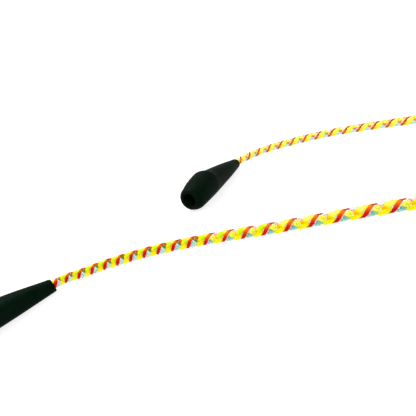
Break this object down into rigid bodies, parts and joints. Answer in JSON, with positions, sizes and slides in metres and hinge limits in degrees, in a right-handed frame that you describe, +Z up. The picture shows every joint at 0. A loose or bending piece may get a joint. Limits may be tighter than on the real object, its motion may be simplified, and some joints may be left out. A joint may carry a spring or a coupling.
{
  "type": "eyeglass retainer strap",
  "caption": "Braided cord loop with a tapered rubber sleeve at each end that grips an eyeglass temple tip; each sleeve swivels on its crimped cord end.",
  "frame": {"origin": "bottom centre of the box round the two sleeves, on the surface that the strap lies on", "axes": "+Z up from the surface, +Y along the two sleeves from their mouths towards their tips, +X towards the closed end of the cord's loop"},
  "size_m": [0.2576, 0.1852, 0.0132],
  "materials": {
    "cord": "spiral-braided yarns in yellow, orange-red and white with pale teal flecks",
    "ferrule": "satin, crimped",
    "sleeve": "matte black with a dark green tint"
  },
  "bodies": {
    "cord": {"cord_run": "cord", "near_cord_end": "cord", "far_cord_end": "cord", "near_ferrule": "ferrule", "far_ferrule": "ferrule"},
    "near_sleeve": {"near_sleeve": "sleeve"},
    "far_sleeve": {"far_sleeve": "sleeve"}
  },
  "joints": [
    {"name": "near_swivel", "type": "hinge", "parent": "cord", "child": "near_sleeve", "pos_m": [-0.0069, -0.0293, 0.00265], "axis": [0.333, 0.9404, -0.0688], "continuous": true},
    {"name": "far_swivel", "type": "hinge", "parent": "cord", "child": "far_sleeve", "pos_m": [0.0199, 0.0774, 0.00265], "axis": [-0.0522, 0.9963, -0.0688], "continuous": true}
  ]
}
